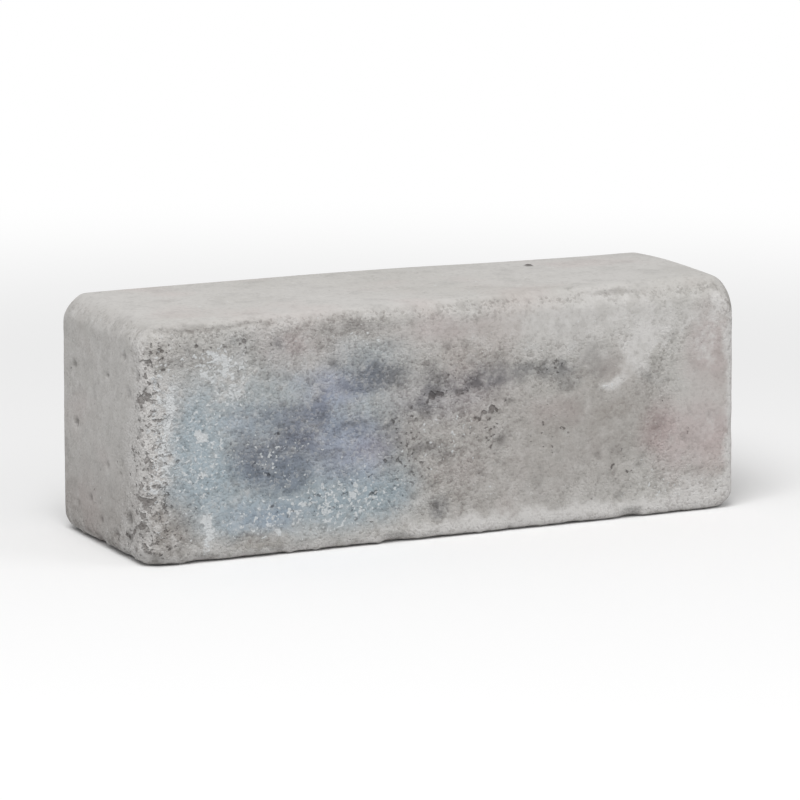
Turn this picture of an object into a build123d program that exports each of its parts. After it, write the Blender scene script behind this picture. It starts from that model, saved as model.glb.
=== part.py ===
"""Tumbled concrete wall block, one pressed solid with worn arrises, knocked corners and chips.

The block stands on its bed face as it is laid in a wall. Its origin is the middle of the bed face,
+X runs along the block to the right, +Y from the front face to the back and +Z up. Millimetres.
"""

import os
from math import sqrt

from build123d import *

# Driving dimensions of the pressed block, before tumbling
LENGTH = 300.0
DEPTH = 100.0
HEIGHT = 110.0

# Each arris is worn to a round: its radius, and how deep the round lies under the sharp arris at its start
# and at its end. An arris along the length starts at the left, one along the depth at the front, an upright
# one at the bed.
ARRIS_WEAR = {
    ("front", "top"): (14.0, 2.2, 5.4),
    ("back", "top"): (17.0, 4.8, 6.7),
    ("front", "bed"): (5.0, 1.6, 1.3),
    ("back", "bed"): (7.0, 2.4, 2.1),
    ("left", "top"): (13.0, 4.6, 5.1),
    ("right", "top"): (14.0, 5.4, 4.8),
    ("left", "bed"): (7.0, 2.5, 2.8),
    ("right", "bed"): (7.0, 2.4, 2.2),
    ("front", "left"): (8.0, 2.9, 2.6),
    ("front", "right"): (8.0, 2.5, 3.2),
    ("back", "left"): (10.0, 3.5, 3.9),
    ("back", "right"): (9.0, 3.1, 3.5),
}

# How deep each corner is knocked back, along its diagonal, from the sharp corner of the pressed block
CORNER_KNOCK = {
    ("front", "left", "top"): 7.8,
    ("front", "right", "top"): 10.0,
    ("back", "left", "top"): 9.2,
    ("back", "right", "top"): 9.6,
    ("front", "left", "bed"): 6.4,
    ("front", "right", "bed"): 5.6,
    ("back", "left", "bed"): 6.8,
    ("back", "right", "bed"): 6.0,
}
# A knock is part of a ball whose radius is this many times the knock's depth
KNOCK_BALL_RATIO = 3.2

# Chips broken out of the arrises: the arris, the share of the way along it, the radius of the hollow and
# how deep it bites into the worn arris
CHIPS = (
    (("front", "left"), 0.13, 16.0, 1.6),
    (("front", "left"), 0.27, 8.0, 0.9),
    (("front", "left"), 0.38, 11.0, 1.1),
    (("front", "left"), 0.55, 9.0, 0.9),
    (("front", "left"), 0.69, 14.0, 1.2),
    (("front", "left"), 0.86, 9.0, 1.0),
    (("front", "bed"), 0.10, 15.0, 1.5),
    (("front", "bed"), 0.43, 22.0, 0.9),
    (("front", "bed"), 0.81, 18.0, 1.0),
    (("left", "bed"), 0.24, 9.0, 1.2),
    (("left", "bed"), 0.55, 13.0, 1.7),
    (("front", "right"), 0.35, 15.0, 1.0),
    (("back", "bed"), 0.25, 16.0, 1.3),
    (("back", "bed"), 0.66, 19.0, 1.8),
    (("back", "right"), 0.45, 14.0, 1.5),
    (("back", "left"), 0.60, 17.0, 1.1),
    (("right", "bed"), 0.40, 15.0, 1.5),
)

# The cutting shapes stand this far clear of the block
OVERRUN = 4.0

OUTWARD = {
    "left": Vector(-1, 0, 0),
    "right": Vector(1, 0, 0),
    "front": Vector(0, -1, 0),
    "back": Vector(0, 1, 0),
    "bed": Vector(0, 0, -1),
    "top": Vector(0, 0, 1),
}
CENTRE = Vector(0, 0, HEIGHT / 2)


def outward(faces):
    """Sum of the outward directions of these faces."""
    return sum((OUTWARD[face] for face in faces), Vector())


def sharp_point(faces):
    """The point of the pressed block where these faces meet, half way along the arris if they are two."""
    out = outward(faces)
    return CENTRE + Vector(out.X * LENGTH / 2, out.Y * DEPTH / 2, out.Z * HEIGHT / 2)


def arris_run(faces):
    """The whole run of an arris as a vector, from its start to its end."""
    first, second = (OUTWARD[face] for face in faces)
    across = first.cross(second)
    return Vector(abs(across.X) * LENGTH, abs(across.Y) * DEPTH, abs(across.Z) * HEIGHT)


def arris_point(faces, share):
    """A point on the sharp arris, a share of the way along it."""
    return sharp_point(faces) + arris_run(faces) * (share - 0.5)


def wear_depth(faces, share):
    """How deep the round lies under the sharp arris, a share of the way along it."""
    _, start, end = ARRIS_WEAR[faces]
    return start + (end - start) * share


def round_middle(faces, share):
    """Middle of the wear round, a share of the way along its arris."""
    radius = ARRIS_WEAR[faces][0]
    return arris_point(faces, share) - outward(faces) * ((radius + wear_depth(faces, share)) / sqrt(2))


def wear_line(faces):
    """Start and end of the middle line of a wear round, run out past the block at both ends."""
    beyond = OVERRUN / arris_run(faces).length
    return round_middle(faces, -beyond), round_middle(faces, 1 + beyond)


def wear_plane(faces):
    """Plane square to a wear round's middle line, at its start, with the arris in its first quarter."""
    start, end = wear_line(faces)
    first, second = (OUTWARD[face] for face in faces)
    follows = first.cross(second).dot(end - start) > 0
    return Plane(start, x_dir=first if follows else second, z_dir=end - start)


def knocked_off(faces):
    """What is knocked off a corner: the corner's own cube with a ball taken out of it."""
    depth = CORNER_KNOCK[faces]
    ball_radius = KNOCK_BALL_RATIO * depth
    inset = (ball_radius + depth) / sqrt(3)
    ball_middle = sharp_point(faces) - outward(faces) * inset
    cube_side = inset + OVERRUN
    with BuildPart() as corner:
        with Locations(ball_middle + outward(faces) * (cube_side / 2)):
            Box(cube_side, cube_side, cube_side)
        with Locations(ball_middle):
            Sphere(ball_radius, mode=Mode.SUBTRACT)
    return corner.part


def hollow_middle(faces, share, hollow_radius, bite):
    """Middle of a chip's hollow, which lies outside the worn arris by its radius less its bite."""
    clear = hollow_radius - bite - wear_depth(faces, share)
    return arris_point(faces, share) + outward(faces).normalized() * clear


KNOCKED_OFF = [knocked_off(corner) for corner in CORNER_KNOCK]

with BuildPart() as wall_block:
    # The pressed block
    with BuildSketch():
        Rectangle(LENGTH, DEPTH)
    extrude(amount=HEIGHT)

    # Arrises worn round in the drum, deeper at one end: what goes is a square corner less the round
    for arris in ARRIS_WEAR:
        radius = ARRIS_WEAR[arris][0]
        start, end = wear_line(arris)
        with BuildSketch(wear_plane(arris)):
            Rectangle(radius + OVERRUN, radius + OVERRUN, align=(Align.MIN, Align.MIN))
            Circle(radius, mode=Mode.SUBTRACT)
        extrude(amount=(end - start).length, mode=Mode.SUBTRACT)

    # Corners knocked back
    add(KNOCKED_OFF, mode=Mode.SUBTRACT)

    # Chips
    for arris, share, hollow_radius, bite in CHIPS:
        with Locations(hollow_middle(arris, share, hollow_radius, bite)):
            Sphere(hollow_radius, mode=Mode.SUBTRACT)

wall_block.part.label = "wall_block"
os.makedirs("parts", exist_ok=True)
export_step(wall_block.part, "parts/wall_block.step")
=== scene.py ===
"""Looks of a tumbled concrete wall block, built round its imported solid.

One skin stands for the solid. It is a closed grid over the block's six faces, pressed onto the solid,
softened and then worn: sandy open faces, pits, ragged arrises and small stones that show in them. The
concrete is one material, whose stains and textures follow values that the skin carries at its points.

The frame is in metres: x runs along the block, y from the front face to the back, z up from the bed.
Sizes of the skin and of its textures are written in millimetres.
"""

import math
from collections import namedtuple

import bpy
import numpy as np
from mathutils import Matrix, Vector


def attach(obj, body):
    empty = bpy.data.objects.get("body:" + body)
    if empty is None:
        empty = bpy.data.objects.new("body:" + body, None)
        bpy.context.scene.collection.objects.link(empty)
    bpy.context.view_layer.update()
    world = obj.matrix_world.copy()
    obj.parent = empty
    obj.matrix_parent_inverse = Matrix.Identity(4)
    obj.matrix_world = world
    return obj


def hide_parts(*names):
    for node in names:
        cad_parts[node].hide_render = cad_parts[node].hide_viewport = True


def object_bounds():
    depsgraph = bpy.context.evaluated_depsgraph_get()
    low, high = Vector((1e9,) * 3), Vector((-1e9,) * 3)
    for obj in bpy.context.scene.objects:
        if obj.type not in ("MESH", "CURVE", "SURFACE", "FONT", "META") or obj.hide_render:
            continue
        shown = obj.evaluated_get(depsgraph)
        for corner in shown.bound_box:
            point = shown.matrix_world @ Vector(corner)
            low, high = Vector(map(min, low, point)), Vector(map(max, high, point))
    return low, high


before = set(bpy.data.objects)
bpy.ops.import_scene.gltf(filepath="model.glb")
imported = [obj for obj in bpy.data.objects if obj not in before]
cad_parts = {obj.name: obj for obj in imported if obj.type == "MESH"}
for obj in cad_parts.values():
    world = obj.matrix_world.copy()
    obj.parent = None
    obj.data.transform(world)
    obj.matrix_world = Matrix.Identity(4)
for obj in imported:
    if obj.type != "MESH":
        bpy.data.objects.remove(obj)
cad_low, cad_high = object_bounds()

MM = 0.001

# The block's box in millimetres
LOW = np.array(cad_low) / MM
HIGH = np.array(cad_high) / MM

# Spacing of the skin's grid
GRID_STEP = 1.25

# Rounds of softening that take the creases off the pressed skin
SOFTENING_ROUNDS = 6

# How far wear reaches from every arris, and how far crowded pores and ragged wear reach from the arris of
# the front and the left end
ARRIS_REACH = 5.0
PORED_REACH = 9.0
RAGGED_REACH = 16.0

# How far the back of the top is worn down at its right
TOP_WEAR = 2.5

# The camera's place from the middle of the block, as fitted to the photograph, and how far it sees, both
# in metres, and its lens in millimetres
CAMERA_FROM_BLOCK = Vector((-1.145, -2.402, 0.543))
SIGHT = 50.0
LENS = 265.0

# The light: what the sky gives from all round, and what each soft lamp gives a white surface that faces
# it, as shares of the light at which a colour renders as it is written
SKY_LIGHT = 0.42
KEY_LIGHT = 0.635
FILL_LIGHT = 0.22

# The directions that the lamps stand in, and their distance and size in metres
KEY_FROM = (-0.33, -0.39, 0.86)
FILL_FROM = (0.70, -0.65, 0.30)
LAMP_DISTANCE = 2.6
LAMP_SIZE = 1.6

# Half the floor's side, and the distances from the block between which it fades to plain white, in metres
FLOOR_HALF = 9.0
FLOOR_FADE = (0.35, 0.9)

# Masks for the noise's whole numbers
LOW_32_BITS = 0xFFFFFFFF
LOW_24_BITS = 0xFFFFFF

# Each mark on the front is given by how far its middle lies from the left end and above the bed, half its
# length, half its height, how far it is turned in degrees, and its strength

# A stain's tint is what it multiplies the clean concrete's colour by, and its solid share is what is left
# of it where its blotches are thinnest
Stain = namedtuple("Stain", "tint solid marks")

STAINS = {
    # Weathered warm grey; its values also darken the foot of the left end, partly as painted shade
    "weathered_and_shaded": Stain((0.734, 0.71, 0.70), 0.68, (
        (32, 94, 32, 6, 0, 0.45),
        (98, 100, 28, 7, 0, 0.85),
        (124, 58, 12, 40, 0, 0.50),
        (141, 33, 10, 8, 0, 0.45),
        (150, 54, 30, 44, 0, 0.85),
        (190, 38, 40, 36, 0, 0.80),
        (226, 44, 34, 30, 0, 0.90),
        (252, 50, 14, 26, 0, 0.75),
        (226, 74, 12, 8, 0, 0.90),
        (12, 22, 17, 22, 0, 0.65),
        (158, 16, 14, 12, 0, 0.85),
    )),
    # Green-blue halo
    "teal": Stain((0.70, 0.845, 0.96), 0.85, (
        (66, 52, 66, 46, 0, 0.50),
        (27, 58, 17, 28, 0, 0.90),
        (32, 36, 20, 18, 0, 0.90),
        (88, 22, 34, 15, 0, 1.00),
        (116, 25, 22, 16, 0, 1.00),
        (62, 34, 30, 16, 0, 0.50),
        (52, 19, 26, 12, 0, 0.90),
        (50, 64, 16, 9, 0, 0.45),
        (112, 84, 26, 12, 0, 0.38),
        (65, 76, 24, 10, 0, 0.30),
        (102, 62, 24, 14, 0, 0.45),
    )),
    # Violet-grey between the halo and the core
    "lavender": Stain((0.735, 0.77, 0.91), 0.80, (
        (62, 18, 22, 9, 0, 0.45),
        (48, 62, 10, 8, 0, 0.35),
        (100, 46, 22, 16, 0, 0.95),
        (95, 75, 20, 10, 0, 0.90),
        (82, 60, 24, 16, 0, 0.35),
        (150, 66, 30, 12, 0, 0.35),
    )),
    # Dark heart of the halo
    "slate": Stain((0.46, 0.475, 0.535), 0.75, (
        (58, 45, 18, 15, 0, 1.00),
        (73, 50, 15, 16, 0, 0.95),
        (83, 63, 13, 10, 20, 0.85),
        (66, 66, 15, 7, 0, 0.70),
        (70, 35, 15, 8, 0, 0.75),
        (102, 57, 16, 4, 0, 0.40),
        (86, 22, 34, 10, 0, 0.14),
        (173, 72, 13, 6, 0, 0.30),
        (112, 77, 14, 7, 0, 0.60),
    )),
    # Sooty smudges
    "soot": Stain((0.50, 0.51, 0.53), 0.62, (
        (113, 77, 14, 7, 0, 0.75),
        (103, 85, 16, 5, -8, 0.60),
        (122, 91, 8, 5, 0, 0.28),
        (127, 77, 9, 5, 0, 0.80),
        (143, 74, 7, 9, 0, 0.85),
        (138, 61, 10, 7, 0, 0.80),
        (149, 70, 8, 5, 0, 0.50),
        (172, 72, 14, 7, 0, 1.00),
        (162, 69, 11, 4, 0, 0.60),
        (181, 74, 13, 6, 0, 0.55),
        (188, 77, 8, 4, 0, 0.75),
        (198, 74, 7, 5, 0, 0.90),
        (209, 74, 8, 5, 0, 0.85),
        (214, 67, 7, 4, 0, 0.55),
        (227, 77, 10, 8, 0, 0.40),
        (120, 50, 10, 12, 0, 0.45),
        (141, 42, 16, 4, 0, 0.60),
        (144, 15, 5, 5, 0, 0.90),
        (177, 44, 5, 4, 0, 0.30),
        (254, 68, 10, 3, -35, 0.50),
        (65, 97, 6, 5, 0, 0.65),
        (45, 99, 5, 3, 0, 0.50),
        (27, 96, 7, 4, 0, 0.35),
        (16, 92, 6, 3, 0, 0.40),
        (106, 102, 18, 4, 0, 0.35),
    )),
    # Pink blush
    "blush": Stain((0.93, 0.82, 0.835), 0.85, (
        (263, 37, 13, 18, 0, 1.00),
        (283, 36, 17, 20, 0, 0.75),
        (286, 78, 15, 22, 0, 0.75),
        (206, 54, 16, 9, 0, 0.35),
        (148, 98, 24, 8, 0, 0.40),
        (158, 33, 14, 10, 0, 0.20),
        (75, 98, 8, 5, 0, 0.45),
        (110, 47, 9, 7, 0, 0.35),
    )),
    # Brown dirt
    "umber": Stain((0.76, 0.72, 0.69), 0.40, (
        (12, 20, 13, 15, 0, 0.60),
        (24, 14, 8, 9, 0, 0.50),
        (55, 6, 16, 5, 0, 0.85),
        (8, 97, 10, 8, 0, 0.15),
        (236, 52, 12, 5, 0, 0.40),
    )),
}

# Where dark pores crowd
SPECKLED = (
    (62, 48, 26, 22, 0, 0.55),
    (128, 44, 18, 26, 0, 0.85),
    (170, 52, 16, 14, 0, 0.80),
    (148, 70, 24, 11, 0, 0.75),
    (204, 75, 13, 6, 0, 0.75),
    (204, 40, 16, 12, 0, 0.75),
    (172, 30, 12, 8, 0, 0.55),
    (238, 24, 16, 14, 0, 0.60),
    (48, 96, 32, 7, 0, 0.80),
    (6, 55, 11, 52, 0, 1.00),
    (5, 94, 9, 14, 0, 0.65),
    (12, 18, 18, 20, 0, 0.85),
    (95, 20, 50, 14, 0, 0.65),
    (30, 46, 14, 30, 0, 0.45),
    (272, 40, 12, 10, 0, 0.40),
    (262, 62, 10, 12, 0, 0.50),
    (288, 9, 14, 8, 0, 0.60),
)

# Where pale flecks are sprinkled
FLECKED = (
    (88, 20, 46, 15, 0, 0.92),
    (108, 30, 20, 14, 0, 0.40),
    (48, 14, 30, 9, 0, 0.55),
    (30, 50, 15, 32, 0, 0.80),
    (36, 89, 18, 9, -20, 1.00),
    (44, 77, 11, 10, 0, 1.00),
    (10, 60, 9, 46, 0, 0.95),
    (64, 46, 20, 16, 0, 0.50),
    (110, 95, 16, 6, 0, 0.60),
    (255, 14, 22, 8, 0, 0.45),
    (150, 50, 24, 20, 0, 0.40),
)

# Where the cement skin is closed and smooth
SMOOTH_SKIN = (
    (215, 97, 82, 14, 0, 1.00),
    (140, 99, 30, 9, 0, 0.60),
    (247, 78, 20, 8, 43, 1.00),
    (227, 77, 13, 9, 0, 0.95),
    (179, 73, 12, 6, 0, 0.75),
    (222, 44, 54, 32, 0, 0.90),
    (284, 58, 22, 52, 0, 1.00),
    (200, 6, 95, 10, 0, 0.90),
    (186, 24, 30, 13, 0, 0.60),
    (30, 50, 16, 22, 0, 0.40),
    (80, 20, 56, 15, 0, 0.60),
)

# Where the face is rubbed pale, and where pale is painted on as light: a painted highlight along the
# right arris and on the top right corner, and painted light along the bed against the floor's shadow
RUBBED_PALE_AND_HIGHLIT = (
    # Top right corner: rubbed pale, partly a painted highlight
    (294, 99, 9, 11, 0, 0.70),
    # Right arris: a painted highlight
    (298, 52, 5, 46, 0, 0.90),
    (235, 66, 7, 3, 20, 0.85),
    (247, 79, 13, 11, 50, 0.80),
    (258, 88, 13, 10, 20, 0.65),
    (282, 10, 26, 10, 0, 0.75),
    (225, 96, 62, 12, 0, 0.45),
    (8, 62, 10, 44, 0, 0.65),
    # Along the bed: painted light against the shade under the front's lower arris
    (205, 4, 95, 8, 0, 1.00),
    (42, 82, 14, 10, 0, 0.40),
    (285, 84, 14, 16, 0, 0.55),
)

# White strokes and dabs
WHITE_STROKES = (
    (31.5, 11, 2.2, 11, -4, 1.00),
    (30, 20.5, 4.0, 2.6, 0, 1.00),
    (28.5, 57, 2.6, 2.8, 0, 1.00),
    (38, 93, 8, 1.6, -28, 0.70),
    (31, 86, 6, 1.4, -45, 0.60),
    (41, 89, 1.8, 5, 0, 0.50),
    (13, 70, 2.2, 15, -12, 1.00),
    (11, 52, 1.8, 8, 6, 0.60),
    (67, 10, 5, 1.6, -45, 0.70),
    (234, 64, 7, 2.4, 5, 0.65),
    (193, 85, 4, 2.2, 0, 0.55),
    (213, 84, 3, 1.8, 0, 0.55),
)

# Dark creases: painted shade in thin creases, mostly along the top front arris
CREASES = (
    (38, 107, 34, 1.2, 0.5, 0.65),
    (236, 107, 14, 1.0, 0, 0.60),
    (105, 57, 12, 1.0, 0, 0.40),
)

# Single pits: how far each lies from the left end, from the front and above the bed, its radius and its
# depth
PITS = (
    (144, 0, 15, 3.0, 1.2),
    (123, 0, 60, 1.9, 0.9),
    (121, 0, 54, 2.2, 0.9),
    (177, 0, 43, 2.3, 1.1),
    (147, 0, 71, 2.1, 0.9),
    (197, 0, 74, 2.3, 1.0),
    (209, 0, 74, 2.3, 1.0),
    (167, 0, 27, 2.1, 0.8),
    (247, 0, 24, 2.5, 0.9),
    (238, 0, 11, 2.5, 0.9),
    (266, 0, 85, 1.9, 0.6),
    (285, 0, 46, 1.8, 0.6),
    (116, 0, 16, 1.8, 0.8),
    (7, 0, 83, 2.5, 1.2),
    (3, 0, 93, 2.6, 1.2),
    (10, 0, 46, 2.5, 0.9),
    (0, 78, 52, 3.0, 1.5),
    (0, 80, 79, 2.7, 1.3),
    (0, 41, 81, 2.4, 1.2),
    (0, 21, 93, 2.5, 1.3),
    (0, 17, 77, 2.4, 1.2),
    (0, 62, 21, 2.5, 1.3),
    (0, 42, 40, 2.3, 1.1),
    (0, 17, 20, 3.8, 1.8),
    (0, 18, 10, 3.3, 1.6),
    (0, 32, 10, 2.6, 1.3),
    (0, 50, 13, 2.3, 1.1),
    (61, 88, 110, 2.0, 0.8),
)

# Small dark stones that the wear has bared: the place as for the pits, the radius, and the share of the
# worn depth that the stone stands up
BARED_STONES = (
    (225, 68, 110, 2.5, 1.0),
)


# Noise


def scramble(cells, seed):
    """A number from 0 to 1 for each cell of a lattice, the same on every run.

    The cell's three counts and the seed are multiplied by large primes, joined bit by bit, and mixed
    twice by a shift and a product.
    """
    first, second, third = np.moveaxis(np.asarray(cells, np.int64), -1, 0)
    joined = first * 73856093 ^ second * 19349663 ^ third * 83492791 ^ seed * 2654435761
    mixed = joined & LOW_32_BITS
    mixed = ((mixed ^ mixed >> 13) * 1274126177) & LOW_32_BITS
    mixed = ((mixed ^ mixed >> 16) * 1103515245) & LOW_32_BITS
    return ((mixed ^ mixed >> 15) & LOW_24_BITS) / (LOW_24_BITS + 1)


def smoothstep(values, low, high):
    """0 below low, 1 above high, and 3t squared less 2t cubed between them."""
    share = np.clip((values - low) / (high - low), 0.0, 1.0)
    return share * share * (3.0 - 2.0 * share)


def noise(place, size, seed, octaves=1):
    """Smooth noise from -1 to 1 with lumps of about the given size.

    Each octave turns the lattice, blends the random numbers at the eight corners of the point's cell by
    the ease curve 6t^5 - 15t^4 + 10t^3, and has half the size and half the weight of the one before.
    """
    total = np.zeros(len(place))
    weights = 0.0
    for octave in range(octaves):
        angle = 0.7 + 1.9 * octave + 0.37 * seed
        cosine, sine = math.cos(angle), math.sin(angle)
        turn = np.array(((cosine, -sine, 0), (sine, cosine, 0), (0, 0, 1))) @ np.array(
            ((1, 0, 0), (0, cosine, -sine), (0, sine, cosine))
        )
        lattice = place @ turn / (size * 0.5 ** octave)
        cell = np.floor(lattice)
        within = lattice - cell
        ease = within ** 3 * (within * (within * 6 - 15) + 10)
        blended = np.zeros(len(place))
        for corner in np.ndindex(2, 2, 2):
            share = np.prod(np.where(corner, ease, 1 - ease), axis=1)
            blended += share * scramble(cell + corner, seed + 31 * octave)
        total += 0.5 ** octave * (2 * blended - 1)
        weights += 0.5 ** octave
    return total / weights


def strayed(place, reach, size, seed):
    """Places moved by up to about the reach along each axis, by noise with lumps of the given size."""
    stray = [noise(place, size, seed + axis, octaves=2) for axis in range(3)]
    return place + reach * np.stack(stray, axis=1)


# Marks and domes


def marks(place, spots):
    """Strength from 0 to 1 of soft oval marks on the front.

    Places are counted from the left end, the front and the bed. The distance from a mark's middle is
    taken in its half sizes along its own turned axes. Its strength falls by smoothstep to 0 from distance
    0.25 to 1.35. What each mark leaves clear is multiplied together, so that marks that overlap merge.
    """
    across, _, up = place.T
    clear = np.ones(len(place))
    for middle, height, half_length, half_height, turned, strength in spots:
        cosine, sine = math.cos(math.radians(turned)), math.sin(math.radians(turned))
        along = ((across - middle) * cosine + (up - height) * sine) / half_length
        over = ((up - height) * cosine - (across - middle) * sine) / half_height
        clear *= 1.0 - strength * (1.0 - smoothstep(np.hypot(along, over), 0.25, 1.35))
    return 1.0 - clear


def single_domes(place, domes):
    """Height of single domes.

    That of each is its own height times one less the squared distance from its middle in radii, and where
    domes overlap the higher one shows.
    """
    height = np.zeros(len(place))
    for across, from_front, up, radius, highest in domes:
        distance = np.linalg.norm(place - LOW - (across, from_front, up), axis=1) / radius
        height = np.maximum(height, highest * np.clip(1.0 - distance ** 2, 0.0, 1.0))
    return height


def scattered_domes(place, spacing, share, least, most, seed):
    """Height from 0 to 1 of domes scattered over the lattice's cells.

    A cell of the given spacing holds one dome at a random place in it, of a random radius from least to
    most, where its random number is below the share at the point. A dome's height is one less the squared
    distance from its middle in radii, and where domes overlap the higher one shows.
    """
    lattice = place / spacing
    cell = np.floor(lattice)
    height = np.zeros(len(place))
    for step in np.ndindex(3, 3, 3):
        near = cell + step - 1.0
        middle = near + np.stack([scramble(near, seed + axis) for axis in (1, 2, 3)], axis=1)
        radius = (least + (most - least) * scramble(near, seed + 4)) / spacing
        distance = np.linalg.norm(lattice - middle, axis=1)
        dome = np.clip(1.0 - (distance / radius) ** 2, 0.0, 1.0)
        height = np.maximum(height, dome * (scramble(near, seed + 5) < share))
    return height


# The pressed skin


def grid_over_box(low, high, step):
    """Points and four-sided faces of a closed grid over a box.

    The points are those of an even lattice in the box with at least one count at its lowest or highest
    value. Each side of the lattice is a table of point numbers, and neighbours in it make a face, turned
    outwards.
    """
    counts = np.round((high - low) / step).astype(int)
    lattice = np.stack(np.meshgrid(*[np.arange(count + 1) for count in counts], indexing="ij"), axis=-1)
    outside = ((lattice == 0) | (lattice == counts)).any(axis=-1)
    number = np.full(outside.shape, -1)
    number[outside] = np.arange(outside.sum())
    points = low + lattice[outside] * (high - low) / counts
    faces = []
    for axis in range(3):
        table = np.moveaxis(number, (axis, (axis + 1) % 3, (axis + 2) % 3), (0, 1, 2))
        for side, outward in ((-1, 1), (0, -1)):
            sheet = table[side]
            ring = (sheet[:-1, :-1], sheet[1:, :-1], sheet[1:, 1:], sheet[:-1, 1:])
            faces.append(np.stack(ring[::outward], axis=-1).reshape(-1, 4))
    return points, np.concatenate(faces)


def mesh_of(name, points, faces):
    """A smooth mesh of four-sided faces, from points in millimetres."""
    mesh = bpy.data.meshes.new(name)
    mesh.vertices.add(len(points))
    mesh.vertices.foreach_set("co", (points * MM).astype(np.float32).ravel())
    mesh.loops.add(faces.size)
    mesh.loops.foreach_set("vertex_index", faces.astype(np.int32).ravel())
    mesh.polygons.add(len(faces))
    mesh.polygons.foreach_set("loop_start", np.arange(0, faces.size, 4, dtype=np.int32))
    mesh.update(calc_edges=True)
    mesh.shade_smooth()
    return mesh


def pressed_onto(points, faces, solid):
    """The grid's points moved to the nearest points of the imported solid."""
    sheet = bpy.data.objects.new("pressing", mesh_of("pressing", points, faces))
    bpy.context.scene.collection.objects.link(sheet)
    press = sheet.modifiers.new("press", "SHRINKWRAP")
    press.target = solid
    press.wrap_method = "NEAREST_SURFACEPOINT"
    pressed = sheet.evaluated_get(bpy.context.evaluated_depsgraph_get()).data
    places = np.empty(points.size, np.float32)
    pressed.vertices.foreach_get("co", places)
    mesh = sheet.data
    bpy.data.objects.remove(sheet)
    bpy.data.meshes.remove(mesh)
    return places.reshape(-1, 3).astype(float) / MM


def summed_at_points(point_numbers, amounts, count):
    """The sum at each point of the rows of amounts that belong to it."""
    return np.stack([np.bincount(point_numbers, column, count) for column in amounts.T], axis=1)


def softened(points, faces, rounds):
    """Points moved half way to the mean of their neighbours along the grid's edges, round after round."""
    start = faces.ravel()
    end = np.roll(faces, -1, axis=1).ravel()
    neighbours = np.bincount(start, minlength=len(points))[:, None]
    for _ in range(rounds):
        points = 0.5 * points + 0.5 * summed_at_points(start, points[end], len(points)) / neighbours
    return points


def outward_directions(points, faces):
    """Unit normals at the points: sums of the cross products of the diagonals of the faces round each."""
    corners = points[faces]
    across = np.cross(corners[:, 2] - corners[:, 0], corners[:, 3] - corners[:, 1])
    sums = summed_at_points(faces.ravel(), np.repeat(across, 4, axis=0), len(points))
    return sums / np.linalg.norm(sums, axis=1, keepdims=True)


# Zones of the block that wear and weather in their own way

# How much each point belongs to each zone, from 0 to 1, with the six faces under their names
Zones = namedtuple("Zones", "face hidden arris front_left left_band left_foot upper")


def face_weights(normals):
    """How much each point belongs to each of the six faces, from 0 to 1, by how its normal leans."""
    lean = {"left": -normals[:, 0], "right": normals[:, 0], "front": -normals[:, 1]}
    lean.update({"back": normals[:, 1], "bed": -normals[:, 2], "top": normals[:, 2]})
    return {face: smoothstep(value, 0.5, 0.9) for face, value in lean.items()}


def arris_nearness(place, reach):
    """1 on an arris, falling off along the faces: e to minus the square of the distance in reaches.

    A point's distances from the three nearest planes of the box are sorted. The middle one is its
    distance from the nearest arris.
    """
    inside = np.sort(np.minimum(place - LOW, HIGH - place), axis=1)
    return np.exp(-(np.clip(inside[:, 1], 0, None) / reach) ** 2)


def front_left_nearness(place, reach):
    """1 on the arris of the front and the left end: e to minus the square of the distance in reaches."""
    across, from_front, _ = (place - LOW).T
    return np.exp(-(across ** 2 + from_front ** 2) / reach ** 2)


def zones_of(place, normals, drift):
    """The zones at each point.

    The hidden faces are the back and, less so, the right end. The left end has a band along the front
    arris and a foot, whose edges wander with the drift, a slow noise. The upper zone is about the top
    fifth of the block.
    """
    _, from_front, up = (place - LOW).T
    face = face_weights(normals)
    return Zones(
        face=face,
        hidden=np.maximum(face["back"], 0.75 * face["right"]),
        arris=arris_nearness(place, ARRIS_REACH),
        front_left=front_left_nearness(place, PORED_REACH),
        left_band=face["left"] * (1.0 - smoothstep(from_front + 16 * drift + 0.12 * up, 4, 42)),
        left_foot=face["left"] * (1.0 - smoothstep(up + 8 * drift, 3, 20)),
        upper=smoothstep(up, 82, 102),
    )


# What the skin carries at its points


def stain_values(place, moved, zone, drift):
    """Strength of each stain: its marks on the front, and weathering and soot on the other faces.

    The hidden faces are weathered and sooty where the drift is high. The left end is darker towards its
    foot, partly weathered and partly painted shade, and the upper arrises are darker all round.
    """
    up = place[:, 2] - LOW[2]
    towards_foot = 1.0 - smoothstep(up + 14 * drift, 5, 60)
    sooty = drift + 0.2 * noise(place, size=12, seed=9, octaves=3)
    values = {name: zone.face["front"] * marks(moved, stain.marks) for name, stain in STAINS.items()}
    values["weathered_and_shaded"] += zone.hidden * smoothstep(drift, -0.5, 0.3) + 0.5 * zone.face["bed"]
    # The left end darker towards its foot: partly weathering, partly painted shade from below
    values["weathered_and_shaded"] += 0.8 * zone.face["left"] * towards_foot
    values["weathered_and_shaded"] += 0.35 * zone.arris * zone.upper
    values["soot"] += 0.6 * zone.hidden * smoothstep(sooty, 0.1, 0.55)
    return values


def pore_crowding(place, moved, zone):
    """How much pores crowd.

    They crowd in their marks, in patches of the hidden faces, along the front left arris, and in the left
    end's band and foot.
    """
    patches = smoothstep(noise(place, size=34, seed=8, octaves=2), -0.1, 0.5)
    crowding = zone.face["front"] * marks(moved, SPECKLED) + 0.6 * zone.hidden * patches
    crowding += 0.65 * zone.left_band + 0.5 * zone.left_foot + 0.45 * zone.front_left
    return np.clip(crowding, 0.0, 1.0)


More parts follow.
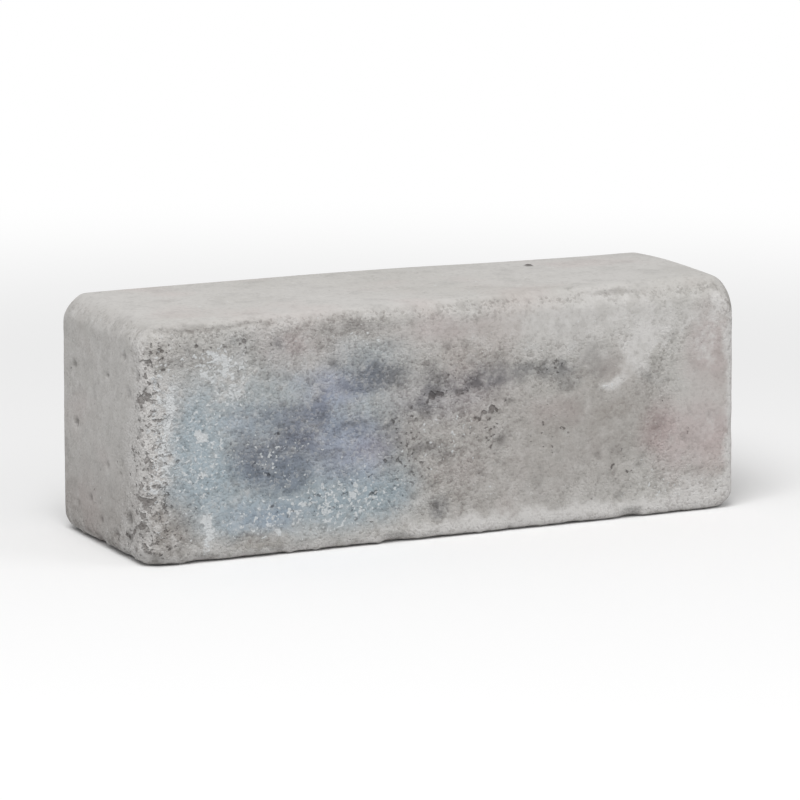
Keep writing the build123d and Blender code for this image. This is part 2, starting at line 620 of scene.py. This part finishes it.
def openness(moved, zone):
    """How open and sandy the face is: most on the front outside its smooth skin, and least on the top."""
    smooth = zone.face["front"] * marks(moved, SMOOTH_SKIN)
    sandy = zone.face["front"] * (0.85 - 0.75 * smooth) + 0.7 * zone.hidden + 0.6 * zone.face["bed"]
    sandy += 0.15 * zone.face["left"] + 0.55 * zone.left_band + 0.4 * zone.left_foot
    sandy += 0.3 * zone.front_left + 0.4 * zone.arris * (1.0 - 0.6 * zone.face["top"])
    return np.clip(sandy + 0.08, 0.0, 1.0)


def rubbing_and_highlights(place, moved, zone):
    """How much the face is rubbed pale or brightened by painted light: on the lower arrises, on the left
    end, more towards its top, and in its marks, some of which are painted highlights.
    """
    up = place[:, 2] - LOW[2]
    # The lower arrises: partly worn pale, partly painted light where they turn down into shade at the bed
    pale = 0.65 * zone.arris * (1.0 - zone.upper) + 0.65 * zone.left_band
    pale += zone.face["front"] * marks(moved, RUBBED_PALE_AND_HIGHLIT)
    pale += 0.3 * zone.face["left"] * smoothstep(up, 25, 70)
    return np.clip(pale, 0.0, 1.0)


def surface_values(place, normals):
    """What the concrete is like at each point: its stains, pores, sand, flecks and wear, from 0 to 1.

    The marks are looked up at places moved a little by noise, so that their edges wander.
    """
    drift = noise(place, size=46, seed=5, octaves=3)
    moved = strayed(place, reach=4.5, size=15, seed=3) - LOW
    nudged = strayed(place, reach=1.6, size=5, seed=6) - LOW
    zone = zones_of(place, normals, drift)
    values = stain_values(place, moved, zone, drift)
    values["specks"] = pore_crowding(place, moved, zone)
    values["open"] = openness(moved, zone)
    values["rubbed_and_highlit"] = rubbing_and_highlights(place, moved, zone)
    values["flecks"] = zone.face["front"] * marks(moved, FLECKED)
    values["strokes"] = zone.face["front"] * marks(nudged, WHITE_STROKES)
    # Creases: painted shade, darkened in the material
    values["creases"] = smoothstep(-normals[:, 1], 0.2, 0.5) * marks(nudged, CREASES)
    values["arris"] = zone.arris
    return values


def worn_depth(place, values):
    """How far the surface lies under the pressed skin, in millimetres, and how dark its hollows are.

    The depth is the sum of a slow wave, the roughness of the open faces, pits, ragged wear along the
    arrises and nicks in them, less the small stones that stand up out of the wear. The arris between the
    front and the left end is the most ragged, and the back of the top is worn down towards the right. A
    bared stone stands up to the pressed skin. The dark share, from 0 to 1, is painted shade that grows
    with the pits and nicks, and it is full on a bared stone, whose own colour is dark.
    """
    across, from_front, up = (place - LOW).T
    from_back = HIGH[1] - LOW[1] - from_front
    back_of_top = np.exp(-(from_back / 30) ** 2) * smoothstep(up, 80, 105)
    rugged = values["arris"] * np.clip(0.37 + front_left_nearness(place, RAGGED_REACH), 0.0, 1.0)
    ragged = strayed(place, reach=1.7, size=4.5, seed=21)
    nicked = strayed(place, reach=2.5, size=8, seed=24)

    wave = 0.5 * (1 + noise(place, size=70, seed=11, octaves=2)) / 2
    worn_down = TOP_WEAR * smoothstep(across, 120, 280) * back_of_top
    rough = values["open"] * (0.10 + 0.34 * (1 + noise(place, size=7, seed=12, octaves=3)) / 2)

    holed = 0.05 * values["open"] + 0.3 * values["specks"]
    crowded = scattered_domes(ragged, spacing=6, share=holed, least=1.2, most=2.8, seed=13)
    lone = scattered_domes(ragged, spacing=23, share=0.16, least=1.2, most=2.2, seed=14)
    pits = np.maximum(np.maximum(0.8 * crowded, 0.7 * lone), single_domes(ragged, PITS))

    coarse = smoothstep(noise(place, size=11, seed=15, octaves=2), -0.1, 0.6)
    fine = smoothstep(noise(place, size=4.5, seed=16, octaves=2), 0.0, 0.6)
    wear = rugged * (0.9 * coarse + 0.6 * fine)
    nicks = 1.3 * scattered_domes(nicked, spacing=17, share=0.5 * rugged, least=3.5, most=7.5, seed=17)
    stony = 0.5 * rugged * values["open"]
    stones = 0.8 * scattered_domes(ragged, spacing=5.5, share=stony, least=1.5, most=3.0, seed=18)

    bared = single_domes(place, BARED_STONES)
    depth = np.clip(wave + worn_down + rough + pits + wear + nicks - stones, 0.0, None)
    # Painted shade in the pits and nicks
    dark = np.clip(0.36 * pits + 0.17 * nicks, 0.0, 1.0)
    return depth * (1.0 - bared), np.maximum(dark, smoothstep(bared, 0.0, 0.4))


def wall_block():
    """The block's skin: each point of the grid lies its worn depth inside the softened press."""
    points, faces = grid_over_box(LOW, HIGH, GRID_STEP)
    pressed = pressed_onto(points, faces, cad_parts["wall_block"])
    place = softened(pressed, faces, SOFTENING_ROUNDS)
    normals = outward_directions(place, faces)
    values = surface_values(place, normals)
    depth, values["pit_shade_and_stone"] = worn_depth(place, values)
    mesh = mesh_of("block_skin", place - normals * depth[:, None], faces)
    for name, value in values.items():
        shares = np.clip(value, 0.0, 1.0).astype(np.float32)
        mesh.attributes.new(name, "FLOAT", "POINT").data.foreach_set("value", shares)
    block = bpy.data.objects.new("block_skin", mesh)
    bpy.context.scene.collection.objects.link(block)
    return block


# Materials


class Recipe:
    """A material's nodes. Each call adds a few nodes and gives the output to go on with."""

    def __init__(self, name):
        self.material = bpy.data.materials.new(name)
        self.material.use_nodes = True
        self.tree = self.material.node_tree
        self.tree.nodes.clear()
        self.place = self.add("TexCoord", {}).outputs["Object"]

    def add(self, kind, inputs, **settings):
        """A node with its settings, and its inputs as numbers or as outputs of other nodes."""
        node = self.tree.nodes.new("ShaderNode" + kind)
        for name, value in settings.items():
            setattr(node, name, value)
        for name, value in inputs.items():
            if isinstance(value, bpy.types.NodeSocket):
                self.tree.links.new(value, node.inputs[name])
            else:
                node.inputs[name].default_value = value
        return node

    def scaled(self, size, seed, stretch=(1, 1, 1)):
        """Place counted in sizes of so many millimetres, stretched on each axis and moved by the seed."""
        scale = [1 / (size * MM * factor) for factor in stretch]
        moved = (seed * 7.3, seed * 3.1, seed * 5.7)
        mapping = {"Vector": self.place, "Location": moved, "Scale": scale}
        return self.add("Mapping", mapping).outputs[0]

    def noise(self, size, seed, detail=2.0, roughness=0.5, stretch=(1, 1, 1)):
        """Cloudy noise about 0.5 with lumps of about the given size."""
        inputs = {"Vector": self.scaled(size, seed, stretch), "Scale": 1.0}
        inputs.update({"Detail": detail, "Roughness": roughness})
        return self.add("TexNoise", inputs).outputs[0]

    def grains(self, size, seed):
        """Ragged grains of about this size: a random number for each and the distance from its middle."""
        straying = {"Vector": self.scaled(size, seed + 1), "Scale": 1.3, "Detail": 1.0}
        stray = self.add("TexNoise", straying).outputs["Color"]
        bent = {0: stray, 1: (0.9, 0.9, 0.9), 2: self.scaled(size, seed)}
        place = self.add("VectorMath", bent, operation="MULTIPLY_ADD").outputs[0]
        texture = self.add("TexVoronoi", {"Vector": place, "Scale": 1.0})
        parts = self.add("SeparateColor", {0: texture.outputs["Color"]})
        return parts.outputs[0], texture.outputs["Distance"]

    def spots(self, size, seed, density, detail=2.5):
        """Ragged spots from 0 to 1: noise of the given size over a limit that falls as density rises."""
        limit = self.math("MULTIPLY_ADD", density, -0.20, 0.765)
        above = self.math("SUBTRACT", self.noise(size, seed, detail, 0.55), limit)
        return self.ramp(above, 0.0, 0.08)

    def value(self, name):
        """A value that the skin carries."""
        return self.add("Attribute", {}, attribute_name=name).outputs["Fac"]

    def math(self, operation, *numbers):
        """One step of arithmetic."""
        return self.add("Math", dict(enumerate(numbers)), operation=operation).outputs[0]

    def times(self, first, second):
        """Two numbers multiplied together."""
        return self.math("MULTIPLY", first, second)

    def ramp(self, value, low, high, start=0.0, end=1.0):
        """A smooth step from start, where the value is low, to end, where it is high."""
        inputs = {0: value, 1: low, 2: high, 3: start, 4: end}
        return self.add("MapRange", inputs, interpolation_type="SMOOTHSTEP").outputs[0]

    def cover(self, colour, coat, strength):
        """The colour under a coat of another."""
        return self.add("Mix", {0: strength, 6: colour, 7: coat}, data_type="RGBA").outputs[2]

    def wash(self, colour, tint, strength):
        """The colour multiplied by a tint."""
        inputs = {0: strength, 6: colour, 7: tint}
        return self.add("Mix", inputs, data_type="RGBA", blend_type="MULTIPLY").outputs[2]

    def finish(self, shader):
        """Ends the recipe with its shader."""
        self.add("OutputMaterial", {"Surface": shader})
        return self.material


def tone(red, green, blue, alpha=1.0):
    """A node's colour from the linear shares of light that come back."""
    return red, green, blue, alpha


def cement_skin(mix, mottle, open_face):
    """Clean cement, a little cloudy and streaked, with dark and pale clumps where the face is open."""
    cloud = mix.noise(size=85, seed=1, detail=3.0)
    warmth = mix.noise(size=48, seed=5)
    streaks = mix.noise(size=6, seed=4, detail=3.0, roughness=0.55, stretch=(11, 4, 1))
    fine = mix.noise(size=2.2, seed=3, detail=3.0, roughness=0.6)
    clump = mix.noise(size=6.5, seed=14, detail=3.0, roughness=0.55)
    dark_clump = mix.times(mix.ramp(clump, 0.50, 0.66), open_face)
    pale_clump = mix.times(mix.ramp(clump, 0.34, 0.46, 0.5, 0.0), open_face)

    clean = tone(0.590, 0.575, 0.556)
    colour = mix.wash(clean, tone(0.94, 0.94, 0.93), mix.ramp(cloud, 0.42, 0.68))
    colour = mix.wash(colour, tone(1.0, 0.965, 0.965), mix.ramp(warmth, 0.5, 0.70))
    colour = mix.wash(colour, tone(0.90, 0.90, 0.90), mix.ramp(mottle, 0.48, 0.72))
    colour = mix.wash(colour, tone(0.93, 0.93, 0.925), mix.ramp(streaks, 0.52, 0.72))
    colour = mix.wash(colour, tone(0.92, 0.92, 0.92), mix.ramp(fine, 0.5, 0.75))
    colour = mix.wash(colour, tone(0.80, 0.795, 0.79), dark_clump)
    return mix.cover(colour, tone(0.66, 0.645, 0.63), pale_clump)


def stained(mix, colour, blotch):
    """The colour under each stain, thinner where the blotches are thin."""
    for name, stain in STAINS.items():
        blotched = mix.ramp(blotch, 0.38, 0.58, stain.solid, 1.0)
        colour = mix.wash(colour, tone(*stain.tint), mix.times(mix.value(name), blotched))
    return colour


def rubbed_and_highlit(mix, colour, blotch):
    """The colour rubbed pale or brightened by painted highlights and painted light, with edges that the
    blotches make ragged.
    """
    ragged = mix.math("MULTIPLY_ADD", blotch, -2.0, mix.math("ADD", mix.value("rubbed_and_highlit"), 1.0))
    return mix.cover(colour, tone(0.69, 0.675, 0.66), mix.ramp(ragged, 0.1, 1.0, 0.0, 0.95))


def sanded(mix, colour, grain, open_face):
    """The colour with dark and pale sand grains in it, plainer in the open face."""
    sandy = mix.ramp(open_face, 0.0, 0.8, 0.30, 1.0)
    dark_grain = mix.times(mix.ramp(grain, 0.14, 0.22, 1.0, 0.0), sandy)
    pale_grain = mix.times(mix.ramp(grain, 0.80, 0.88), sandy)
    colour = mix.wash(colour, tone(0.80, 0.79, 0.785), dark_grain)
    return mix.cover(colour, tone(0.66, 0.645, 0.625), mix.times(pale_grain, 0.22))


def dark_pores(mix, open_face):
    """Pores from 0 to 1: large and small ones in clusters where they crowd, and pinholes all over."""
    cluster = mix.ramp(mix.noise(size=11, seed=8), 0.34, 0.60, 0.65, 1.0)
    crowd = mix.math("ADD", mix.times(mix.value("specks"), cluster), mix.times(open_face, 0.12))
    large = mix.spots(size=4.4, seed=9, density=crowd)
    small = mix.times(mix.spots(size=2.6, seed=10, density=crowd), 0.85)
    pinholes = mix.times(mix.spots(size=3.2, seed=15, density=0.30), 0.6)
    return mix.math("MAXIMUM", mix.math("MAXIMUM", large, small), pinholes)


def darkened(mix, colour, pore):
    """The colour in the shade and dirt of pores, pits and creases."""
    colour = mix.wash(colour, tone(0.50, 0.485, 0.48), pore)
    colour = mix.wash(colour, tone(0.22, 0.21, 0.205), mix.value("pit_shade_and_stone"))
    return mix.wash(colour, tone(0.62, 0.61, 0.60), mix.value("creases"))


def pale_flecks(mix, open_face):
    """Flecks from 0 to 1: in their marks, crowded in the white strokes, and a few in the open face."""
    sprinkle = mix.math("MULTIPLY_ADD", open_face, 0.12, mix.value("flecks"))
    sprinkle = mix.math("MULTIPLY_ADD", mix.value("strokes"), 1.4, sprinkle)
    large = mix.spots(size=2.9, seed=11, density=sprinkle, detail=1.0)
    small = mix.spots(size=1.8, seed=12, density=sprinkle, detail=1.0)
    return mix.math("MAXIMUM", large, small)


def whitened(mix, colour, fleck):
    """The colour under the white strokes and the pale flecks."""
    colour = mix.cover(colour, tone(0.74, 0.735, 0.73), mix.times(mix.value("strokes"), 0.50))
    return mix.cover(colour, tone(0.73, 0.75, 0.76), mix.times(fleck, 0.75))


def fine_relief(mix, from_grain, pore, fleck, open_face):
    """Relief finer than the skin's grid, in millimetres: tooth, sand, pores, flecks and creases."""
    grit = mix.noise(size=0.9, seed=13, detail=3.0, roughness=0.65)
    tooth = mix.times(grit, mix.ramp(open_face, 0.0, 1.0, 0.10, 0.30))
    sand = mix.times(mix.ramp(from_grain, 0.1, 0.75, 0.30, 0.0), open_face)
    height = mix.math("ADD", tooth, sand)
    height = mix.math("MULTIPLY_ADD", pore, -0.7, height)
    height = mix.math("MULTIPLY_ADD", fleck, 0.12, height)
    height = mix.math("MULTIPLY_ADD", mix.value("creases"), -0.5, height)
    return mix.add("Bump", {"Strength": 1.0, "Distance": MM, "Height": height}).outputs[0]


def concrete():
    """Pressed grey concrete, built up from its cement skin to the flecks that lie on it."""
    mix = Recipe("concrete")
    open_face = mix.value("open")
    mottle = mix.noise(size=13, seed=2, detail=5.0, roughness=0.62)
    blotch = mix.noise(size=5.5, seed=6, detail=4.0, roughness=0.6)
    grain, from_grain = mix.grains(size=1.3, seed=7)
    pore = dark_pores(mix, open_face)
    fleck = pale_flecks(mix, open_face)

    colour = cement_skin(mix, mottle, open_face)
    colour = stained(mix, colour, blotch)
    colour = rubbed_and_highlit(mix, colour, blotch)
    colour = sanded(mix, colour, grain, open_face)
    colour = darkened(mix, colour, pore)
    colour = whitened(mix, colour, fleck)

    roughness = mix.ramp(mottle, 0.3, 0.7, 0.82, 0.95)
    bump = fine_relief(mix, from_grain, pore, fleck, open_face)
    inputs = {"Base Color": colour, "Roughness": roughness, "Specular IOR Level": 0.25, "Normal": bump}
    return mix.finish(mix.add("BsdfPrincipled", inputs).outputs[0])


def floor_paint():
    """White studio floor: it keeps the block's shadow close by, and is plain white further off.

    What the camera, a reflection or glass shows of it is white, and it throws less light at the block.
    """
    mix = Recipe("floor_paint")
    path = mix.add("LightPath", {})
    seen = mix.math("MAXIMUM", path.outputs["Is Camera Ray"], path.outputs["Is Glossy Ray"])
    seen = mix.math("MAXIMUM", seen, path.outputs["Is Transmission Ray"])
    colour = mix.cover(tone(0.58, 0.58, 0.58), tone(0.97, 0.97, 0.97), seen)
    paint = mix.add("BsdfDiffuse", {"Color": colour}).outputs[0]
    white = mix.add("Emission", {"Color": tone(1, 1, 1), "Strength": 1.0}).outputs[0]
    distance = mix.add("VectorMath", {0: mix.place}, operation="LENGTH").outputs["Value"]
    far = mix.times(mix.ramp(distance, *FLOOR_FADE), seen)
    return mix.finish(mix.add("MixShader", {0: far, 1: paint, 2: white}).outputs[0])


# The stage


def floor():
    """A square floor under the block."""
    half, level = FLOOR_HALF, cad_low[2]
    corners = [(-half, -half, level), (half, -half, level), (half, half, level), (-half, half, level)]
    mesh = bpy.data.meshes.new("floor")
    mesh.from_pydata(corners, [], [(0, 1, 2, 3)])
    ground = bpy.data.objects.new("floor", mesh)
    bpy.context.scene.collection.objects.link(ground)
    ground.data.materials.append(floor_paint())


def white_surround():
    """White where the camera, a reflection or glass shows it, and an even soft light elsewhere."""
    world = bpy.data.worlds.new("surround")
    bpy.context.scene.world = world
    world.use_nodes = True
    nodes, links = world.node_tree.nodes, world.node_tree.links
    nodes.clear()
    path = nodes.new("ShaderNodeLightPath")
    seen = path.outputs["Is Camera Ray"]
    for ray in ("Is Glossy Ray", "Is Transmission Ray"):
        either = nodes.new("ShaderNodeMath")
        either.operation = "MAXIMUM"
        links.new(seen, either.inputs[0])
        links.new(path.outputs[ray], either.inputs[1])
        seen = either.outputs[0]
    strength = nodes.new("ShaderNodeMapRange")
    links.new(seen, strength.inputs["Value"])
    strength.inputs["To Min"].default_value = SKY_LIGHT
    strength.inputs["To Max"].default_value = 1.0
    background = nodes.new("ShaderNodeBackground")
    links.new(strength.outputs[0], background.inputs["Strength"])
    background.inputs["Color"].default_value = (1, 1, 1, 1)
    links.new(background.outputs[0], nodes.new("ShaderNodeOutputWorld").inputs["Surface"])


def soft_lamp(name, direction, light, aim):
    """A square soft lamp that the camera doesn't see, and that looks at the block from a direction.

    Its power is the share of light that it gives a white surface facing it, times pi squared, times the
    distance squared.
    """
    lamp = bpy.data.lights.new(name, "AREA")
    lamp.size = LAMP_SIZE
    lamp.energy = light * math.pi ** 2 * LAMP_DISTANCE ** 2
    holder = bpy.data.objects.new(name, lamp)
    holder.location = aim + LAMP_DISTANCE * Vector(direction).normalized()
    holder.rotation_euler = (aim - holder.location).to_track_quat("-Z", "Y").to_euler()
    holder.visible_camera = False
    bpy.context.scene.collection.objects.link(holder)


def camera_at(place, aim):
    """The scene's camera, looking from a place at the block."""
    view = bpy.data.cameras.new("camera")
    view.lens = LENS
    view.clip_end = SIGHT
    camera = bpy.data.objects.new("camera", view)
    camera.location = place
    camera.rotation_euler = (aim - place).to_track_quat("-Z", "Y").to_euler()
    bpy.context.scene.collection.objects.link(camera)
    bpy.context.scene.camera = camera


block_middle = (cad_low + cad_high) / 2

block = wall_block()
block.data.materials.append(concrete())
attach(block, "root")
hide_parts("wall_block")

floor()
white_surround()
soft_lamp("key", KEY_FROM, KEY_LIGHT, block_middle)
soft_lamp("fill", FILL_FROM, FILL_LIGHT, block_middle)
camera_at(block_middle + CAMERA_FROM_BLOCK, block_middle)
bpy.context.scene.view_settings.view_transform = "Standard"
